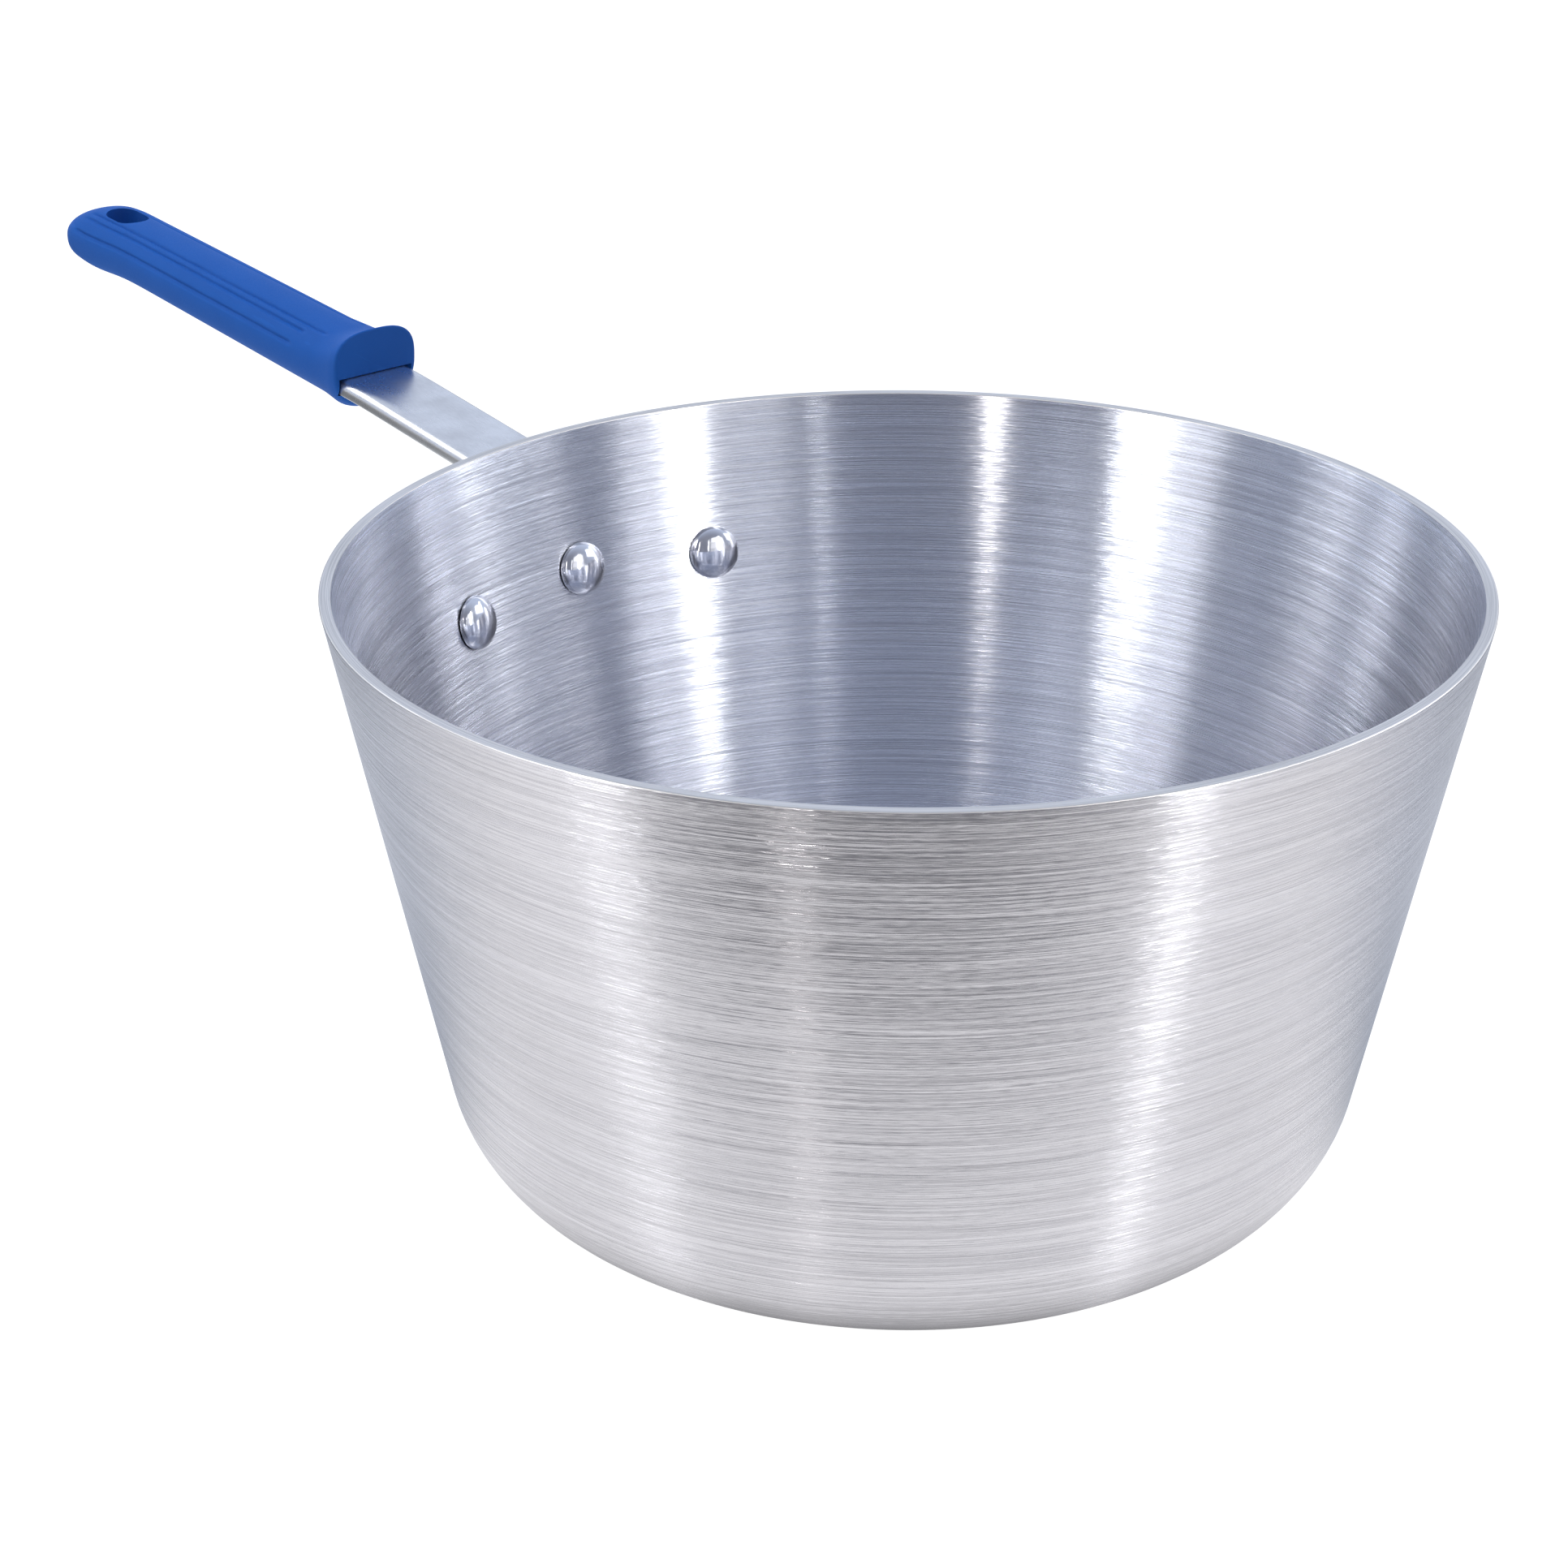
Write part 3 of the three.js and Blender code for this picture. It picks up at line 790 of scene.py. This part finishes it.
def pocket_cutter():
    """The pocket that the tang fills, open at the collar face."""
    mouth = STRAP_HALF_WIDTH + GAP
    half = TANG_HALF_WIDTH + GAP
    end = TANG_LENGTH + POCKET_END_ROOM
    turns = spaced(-math.pi / 2, math.pi / 2, POCKET_SIDES)
    round_end = [(end - half + half * math.cos(a), half * math.sin(a)) for a in turns]
    narrow = TANG_NARROWING + POCKET_MOUTH
    outline = [(-POCKET_MOUTH, -mouth), (POCKET_MOUTH, -mouth), (narrow, -half), (end - half, -half)]
    outline += [*round_end, (narrow, half), (POCKET_MOUTH, mouth), (-POCKET_MOUTH, mouth)]
    depth = SHEET / 2 + ROLL_RADIUS + ROLL_DROP + 2 * GAP
    return straight_cutter(outline, GAP - depth, GAP)


def hole_cutter():
    """The hang hole, opening out where it meets the top and the bottom of the grip."""
    top = top_curve(HOLE_PLACE)
    rings = []
    for wider, height in hole_profile():
        ring = []
        for x, y in slot_outline(HOLE_WIDTH / 2 + wider):
            half, middle, rise, fall = grip_section(x)
            share = clamp(abs(y) / half)
            if height > 0:
                surface = middle + rise * (1 - share**top) ** (1 / top)
            else:
                surface = middle - fall * (1 - share**BOTTOM_CURVE) ** (1 / BOTTOM_CURVE)
            ring.append((x, y, surface + math.copysign(abs(height) - HOLE_SKIN, height)))
        rings.append(ring)
    ends = [(HOLE_PLACE, 0, z) for z in (-HOLE_REACH, HOLE_REACH)]
    return mesh_of_rings("cutter", rings, *ends)


def hole_profile():
    """(how much wider, height) from the bottom of the hole to its top. HOLE_SKIN is the grip's surface."""
    flare = [
        (HOLE_FLARE * (1 - math.cos(a)), HOLE_SKIN - HOLE_FLARE + HOLE_FLARE * math.sin(a))
        for a in HOLE_TURNS
    ]
    top = [*flare, (flare[-1][0] + HOLE_OPEN_OUT, HOLE_SKIN + HOLE_PAST_SKIN)]
    return [(wider, -height) for wider, height in top[::-1]] + top


def make_grip(material):
    rings = [grip_ring(s) for s in grip_rows()]
    middle = Vector((0, 0, grip_section(0)[1]))
    cap = [[mix(Vector(p), middle, k) for p in rings[0]] for k in FACE_RINGS]
    tip = sum(rings[-1], Vector()) / GRIP_SIDES
    mesh = mesh_of_rings("silicone_grip", [*cap, *rings], middle, tip)
    mesh = cut(mesh, [pocket_cutter(), hole_cutter()])
    mesh.transform(grip_frame())
    mesh.shade_smooth()
    mesh.set_sharp_from_angle(angle=GRIP_CREASE)
    return new_piece("silicone_grip", mesh, (material,))


# ---------------------------------------------------------------- materials


class Nodes:
    """The node tree of a material or a world. Each call adds nodes and gives back what they put out."""

    def __init__(self, owner):
        self.owner = owner
        self.owner.use_nodes = True
        self.tree = owner.node_tree

    def add(self, kind, settings=None, inputs=None):
        node = self.tree.nodes.new(kind)
        for key, value in (settings or {}).items():
            setattr(node, key, value)
        for key, value in (inputs or {}).items():
            self.put(node.inputs[key], value)
        return node

    def put(self, socket, value):
        if isinstance(value, bpy.types.NodeSocket):
            self.tree.links.new(value, socket)
        else:
            socket.default_value = value

    def math(self, operation, a, b=0.0, clamped=False):
        settings = {"operation": operation, "use_clamp": clamped}
        return self.add("ShaderNodeMath", settings, {0: a, 1: b}).outputs[0]

    def vector(self, operation, a, b=(0.0, 0.0, 0.0)):
        return self.add("ShaderNodeVectorMath", {"operation": operation}, {0: a, 1: b}).outputs[0]

    def scaled(self, vector, scale):
        node = self.add("ShaderNodeVectorMath", {"operation": "SCALE"}, {0: vector})
        self.put(node.inputs["Scale"], scale)
        return node.outputs[0]

    def remap(self, value, low, high, new_low, new_high):
        inputs = {"Value": value, "From Min": low, "From Max": high, "To Min": new_low, "To Max": new_high}
        return self.add("ShaderNodeMapRange", None, inputs).outputs[0]

    def smooth_remap(self, value, low, high):
        inputs = {"Value": value, "From Min": low, "From Max": high}
        return self.add("ShaderNodeMapRange", {"interpolation_type": "SMOOTHSTEP"}, inputs).outputs[0]

    def noise(self, vector, scale=1.0, detail=2.0, roughness=0.5):
        inputs = {"Vector": vector, "Scale": scale, "Detail": detail, "Roughness": roughness}
        return self.add("ShaderNodeTexNoise", None, inputs).outputs[0]

    def noises(self, vector, detail=2.0, roughness=0.5):
        """Three unlike noises at once."""
        inputs = {"Vector": vector, "Scale": 1.0, "Detail": detail, "Roughness": roughness}
        return self.split(self.add("ShaderNodeTexNoise", None, inputs).outputs["Color"])

    def blend(self, *parts):
        """The sum of (value, weight) pairs."""
        total = 0.0
        for value, weight in parts:
            inputs = {0: value, 1: weight, 2: total}
            total = self.add("ShaderNodeMath", {"operation": "MULTIPLY_ADD"}, inputs).outputs[0]
        return total

    def colours(self, share, dark, light):
        """A mix of two colours, each of them numbers or an output."""
        node = self.add("ShaderNodeMix", {"data_type": "RGBA"}, {MIX_SHARE: share})
        for key, colour in zip(MIX_COLOURS, (dark, light)):
            is_output = isinstance(colour, bpy.types.NodeSocket)
            self.put(node.inputs[key], colour if is_output else (*colour, 1))
        return node.outputs[MIX_RESULT]

    def place(self):
        return self.add("ShaderNodeTexCoord").outputs["Object"]

    def split(self, vector):
        return self.add("ShaderNodeSeparateXYZ", None, {0: vector}).outputs

    def from_axis(self, x, y):
        """Distance from the Z axis."""
        return self.math("SQRT", self.math("ADD", self.math("MULTIPLY", x, x), self.math("MULTIPLY", y, y)))

    def bump(self, height, strength, distance):
        inputs = {"Strength": strength, "Distance": distance, "Height": height}
        return self.add("ShaderNodeBump", None, inputs).outputs[0]

    def finish(self, inputs):
        """The material, with these inputs on its shader."""
        shader = self.tree.nodes["Principled BSDF"]
        for key, value in inputs.items():
            self.put(shader.inputs[key], value)
        return self.owner


def new_material(name):
    return Nodes(bpy.data.materials.new(name))


def turned(nodes, streak, grain=1.0):
    """Coordinates drawn out round the pan's axis, for streaks of that length and width."""
    length, width, shift = streak
    x, y, z = nodes.split(nodes.place())
    along = nodes.math("ADD", nodes.from_axis(x, y), z)
    inputs = {
        0: nodes.math("MULTIPLY", x, 1 / length),
        1: nodes.math("MULTIPLY", y, 1 / length),
        2: nodes.math("MULTIPLY", along, 1 / (width * grain)),
    }
    vector = nodes.add("ShaderNodeCombineXYZ", None, inputs)
    return nodes.vector("ADD", vector.outputs[0], (shift, 0.0, shift))


def brushed_aluminium(name, dark, light, rough, tilt, speck_tilt, swing, lines, grain):
    """Aluminium brushed round and round: the grain spreads each light up and down the wall."""
    nodes = new_material(name)
    fine_tone, fine_slope, fine_swing = nodes.noises(turned(nodes, FINE_STREAK, grain), 3.0, 0.6)
    speck_tone, speck_slope, speck_swing = nodes.noises(turned(nodes, SPECK, grain), 1.0)
    coarse = nodes.noise(turned(nodes, COARSE_STREAK, grain), detail=3.0, roughness=0.6)
    long_lines = nodes.noise(turned(nodes, LONG_LINE, grain), detail=1.0)
    both = nodes.blend(*zip((fine_tone, speck_tone, coarse), TONE_SHARES))
    tone = nodes.remap(both, *TONE_RANGE, 0.0, 1.0)
    dark_line = nodes.remap(long_lines, *DARK_LINES, 0.0, lines)
    pale_line = nodes.remap(long_lines, *PALE_LINES, 0.0, lines)
    tone = nodes.math("ADD", nodes.math("SUBTRACT", tone, dark_line), pale_line, clamped=True)
    tangent = nodes.add("ShaderNodeTangent", {"direction_type": "RADIAL", "axis": "Z"}).outputs[0]
    normal = nodes.add("ShaderNodeNewGeometry").outputs["Normal"]
    upright = nodes.vector("CROSS_PRODUCT", normal, tangent)
    tips = nodes.blend((fine_slope, tilt), (speck_slope, speck_tilt), (NOISE_MEAN, -tilt - speck_tilt))
    swings = nodes.blend((fine_swing, swing / 2), (speck_swing, swing), (NOISE_MEAN, -swing / 2 - swing))
    turned_by = nodes.vector("ADD", nodes.scaled(tangent, swings), nodes.scaled(upright, tips))
    return nodes.finish(
        {
            "Base Color": nodes.colours(tone, dark, light),
            "Metallic": 1.0,
            "Roughness": nodes.remap(fine_tone, *NOISE_SPREAD, *rough),
            "Anisotropic": 1.0,
            "Anisotropic Rotation": 0.25,
            "Tangent": tangent,
            "Normal": nodes.vector("NORMALIZE", nodes.vector("ADD", normal, turned_by)),
        }
    )


def machined_lip():
    """The machined flat on top of the wall, with fine turning marks."""
    nodes = new_material("aluminium_lip")
    marks = nodes.noise(turned(nodes, LIP_STREAK), detail=3.0)
    tone = nodes.remap(marks, 0.36, 0.62, 0.0, 1.0)
    return nodes.finish(
        {
            "Base Color": nodes.colours(tone, *LIP_COLOURS),
            "Metallic": 1.0,
            "Roughness": nodes.remap(marks, 0.35, 0.65, *LIP_ROUGH),
            "Normal": nodes.bump(marks, 0.2, 0.02 * MM),
        }
    )


def polished_rivet():
    """Bright drawn aluminium, with a few hairline marks."""
    nodes = new_material("rivet_aluminium")
    place = nodes.place()
    marks = nodes.noise(nodes.vector("MULTIPLY", place, RIVET_MARKS), detail=2.0)
    tarnish = nodes.noise(place, scale=260.0, detail=3.0)
    return nodes.finish(
        {
            "Base Color": nodes.colours(tarnish, *RIVET_COLOURS),
            "Metallic": 1.0,
            "Roughness": nodes.remap(tarnish, 0.35, 0.65, *RIVET_ROUGH),
            "Normal": nodes.bump(marks, 0.08, 0.01 * MM),
        }
    )


def plated_steel():
    """Satin plating on pressed steel: soft mottling, faint lengthwise marks and handling smudges."""
    nodes = new_material("plated_steel")
    place = nodes.place()
    marks = nodes.noise(nodes.vector("MULTIPLY", place, STEEL_MARKS), detail=3.0)
    smudge = nodes.noise(place, scale=70.0, detail=4.0, roughness=0.55)
    tone = nodes.remap(nodes.blend((marks, 0.3), (smudge, 0.7)), 0.35, 0.6, 0.0, 1.0)
    return nodes.finish(
        {
            "Base Color": nodes.colours(tone, *STEEL_COLOURS),
            "Metallic": 1.0,
            "Roughness": nodes.remap(smudge, 0.3, 0.7, *STEEL_ROUGH),
            "Normal": nodes.bump(marks, 0.06, 0.02 * MM),
        }
    )


def silicone():
    """Matt blue silicone rubber with a fine moulded tooth, paler on its sharp convex edges."""
    nodes = new_material("blue_silicone")
    place = nodes.place()
    tooth = nodes.noise(place, scale=2600.0, detail=2.0)
    cloud = nodes.noise(place, scale=90.0, detail=3.0)
    point = nodes.add("ShaderNodeNewGeometry").outputs["Pointiness"]
    # colour turns paler where the surface is sharply convex, by pointiness
    paler_edges = nodes.remap(point, *PALER_EDGE_POINTINESS, 0.0, PALER_EDGE_SHARE)
    tone = nodes.math("ADD", nodes.math("MULTIPLY", cloud, 0.5), paler_edges, clamped=True)
    return nodes.finish(
        {
            "Base Color": nodes.colours(tone, *SILICONE_COLOURS),
            "Roughness": nodes.remap(tooth, 0.3, 0.7, *SILICONE_ROUGH),
            "IOR": 1.42,
            "Specular IOR Level": 0.2,
            "Sheen Weight": 0.03,
            "Sheen Roughness": 0.5,
            "Normal": nodes.bump(tooth, 0.25, 0.03 * MM),
        }
    )


# ---------------------------------------------------------------- studio


def from_camera(bearing, distance, height):
    """A point round the pan's axis, by its bearing in degrees to the right of the camera."""
    angle = CAMERA_BEARING + math.radians(bearing)
    return Vector((distance * math.cos(angle), distance * math.sin(angle), height))


def strip_light(name, bottom, top, width, radiance, colour=WHITE, only_gloss=False):
    """A flat light between two points, turned to face the pan."""
    middle = (bottom + top) / 2
    upward = (top - bottom).normalized()
    outward = (middle - upward * middle.dot(upward)).normalized()
    across = upward.cross(outward)
    height = (top - bottom).length
    data = bpy.data.lights.new(name, "AREA")
    data.shape = "RECTANGLE"
    data.size = width
    data.size_y = height
    data.color = colour
    data.energy = math.pi * width * height * radiance
    light = bpy.data.objects.new(name, data)
    axes = Matrix((across, upward, outward)).transposed()
    light.matrix_world = Matrix.Translation(middle) @ axes.to_4x4()
    light.visible_camera = False
    light.visible_diffuse = not only_gloss
    bpy.context.scene.collection.objects.link(light)
    return light


def upright_streak(name, bearing, distance, width, low, high, radiance, colour):
    """A tall light in leaning lengths, bent so that its streak on the round wall stays upright."""
    wall = bearing / 2
    side = math.sin(math.radians(bearing - wall))
    rises = [low, *spaced(low, high, len(STREAK_GAINS))]
    points = []
    for rise in rises:
        turn = math.degrees(math.asin(clamp(side / math.cos(math.radians(rise)), -1)))
        height = STREAK_FOOT + distance * math.tan(math.radians(rise))
        points.append(from_camera(wall + turn, distance, height))
    for i, gain in enumerate(STREAK_GAINS):
        strip_light(f"{name}_{i}", points[i], points[i + 1], width, radiance * gain, colour, only_gloss=True)


def make_lights():
    for streak in STREAKS:
        upright_streak(*streak)
    edge = Vector((0, TOP_PANEL / 2, 0))
    centre = from_camera(TOP_PANEL_BEARING, TOP_PANEL_ASIDE, TOP_PANEL_HEIGHT)
    top_panel = strip_light("top_panel", centre - edge, centre + edge, TOP_PANEL, TOP_PANEL_RADIANCE)
    top_panel.visible_glossy = False


def make_world():
    """White as a backdrop, but a room that is lighter behind the pan as a source of light."""
    world = bpy.data.worlds.new("studio")
    bpy.context.scene.world = world
    nodes = Nodes(world)
    behind = from_camera(180, 1, 0).normalized()
    direction = nodes.add("ShaderNodeTexCoord").outputs["Generated"]
    facing = nodes.add("ShaderNodeVectorMath", {"operation": "DOT_PRODUCT"}, {0: direction, 1: behind})
    share = nodes.smooth_remap(facing.outputs["Value"], *ROOM_SPREAD)
    room = nodes.colours(share, ROOM_FRONT, ROOM_BACK)
    seen = nodes.add("ShaderNodeLightPath").outputs["Is Camera Ray"]
    nodes.put(nodes.tree.nodes["Background"].inputs["Color"], nodes.colours(seen, room, WHITE))


def flat_card(name):
    bm = bmesh.new()
    bmesh.ops.create_grid(bm, x_segments=TABLE_ROWS, y_segments=TABLE_ROWS, size=TABLE_SIZE)
    mesh = bpy.data.meshes.new(name)
    bm.to_mesh(mesh)
    bm.free()
    return mesh


def make_floor():
    """A lit white table top."""
    nodes = new_material("white_table")
    cloud = nodes.noise(nodes.place(), scale=4.0, detail=1.0)
    material = nodes.finish(
        {
            "Base Color": nodes.colours(cloud, *TABLE_COLOURS),
            "Roughness": 0.9,
            "Specular IOR Level": 0.0,
            "Emission Color": (*WHITE, 1),
            "Emission Strength": 1.0,
        }
    )
    floor = new_piece("table_top", flat_card("table_top"), (material,))
    floor.location.z = -TABLE_DROP


def make_painted_table_reflection():
    """A glowing card that only the metal sees, a painted reflection of the table: painted shadow close to
    the pan, painted dark far in front, painted shade bluish beside and lighter behind.
    """
    nodes = new_material("painted_table_reflection")
    x, y, _ = nodes.split(nodes.place())
    radius = nodes.from_axis(x, y)
    facing = nodes.math("DIVIDE", x, radius)
    in_front = nodes.smooth_remap(facing, *TABLE_FACING)
    far_in_front = nodes.math("MULTIPLY", in_front, nodes.smooth_remap(x, *TABLE_EDGE))
    # painted shade: darker and bluer close beside the pan, lighter further out behind
    colour = nodes.colours(nodes.smooth_remap(radius, *TABLE_PAINTED_SIDE_SHADE), TABLE_PAINTED_SHADE_BESIDE, TABLE_BACK)
    colour = nodes.colours(nodes.smooth_remap(radius, *TABLE_REACH), colour, TABLE_FAR)
    colour = nodes.colours(nodes.smooth_remap(facing, *TABLE_SIDES), colour, TABLE_NEAR)
    # painted dark reflection far out toward the camera
    colour = nodes.colours(far_in_front, colour, TABLE_FRONT)
    material = nodes.finish(
        {
            "Base Color": (0, 0, 0, 1),
            "Roughness": 1.0,
            "Specular IOR Level": 0.0,
            "Emission Color": colour,
            # painted contact shadow: the card's glow dies out under and close to the pan
            "Emission Strength": nodes.smooth_remap(radius, *TABLE_PAINTED_SHADOW),
        }
    )
    card = new_piece("painted_table_reflection", flat_card("painted_table_reflection"), (material,))
    card.rotation_euler.z = CAMERA_BEARING
    card.location.z = REFLECTED_HEIGHT
    # the card glows and shows only in glossy rays: a painted reflection of the table
    card.visible_camera = False
    card.visible_diffuse = False
    card.visible_shadow = False


def make_camera():
    data = bpy.data.cameras.new("photographer")
    data.lens = CAMERA_LENS
    data.sensor_width = CAMERA_SENSOR
    data.clip_start = CAMERA_CLIP
    camera = bpy.data.objects.new("photographer", data)
    heading = CAMERA_BEARING + math.pi + CAMERA_YAW
    turn = (
        Matrix.Rotation(heading - math.pi / 2, 4, "Z")
        @ Matrix.Rotation(math.pi / 2 - CAMERA_PITCH, 4, "X")
        @ Matrix.Rotation(CAMERA_ROLL, 4, "Z")
    )
    camera.matrix_world = Matrix.Translation(from_camera(0, CAMERA_DISTANCE, CAMERA_HEIGHT)) @ turn
    bpy.context.scene.collection.objects.link(camera)
    bpy.context.scene.camera = camera


# ---------------------------------------------------------------- assembly

bpy.context.scene.view_settings.view_transform = "Standard"
make_camera()
make_world()
make_lights()
make_floor()
make_painted_table_reflection()

outside = brushed_aluminium("aluminium_outside", **OUTSIDE)
inside = brushed_aluminium("aluminium_inside", **INSIDE)
pan = make_pan(outside, inside, machined_lip())
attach(pan, "pan")
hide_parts("pan_shell")

rivet_metal = polished_rivet()
for rivet_name, rivet_place, rivet_outward in rivet_places():
    rivet = make_rivet(rivet_name, rivet_place, rivet_outward, rivet_metal)
    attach(rivet, "pan")
    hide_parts(f"rivet_{rivet_name}")

handle = make_handle(plated_steel())
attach(handle, "pan")
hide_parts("handle")

grip = make_grip(silicone())
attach(grip, "grip")
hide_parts("grip_sleeve")
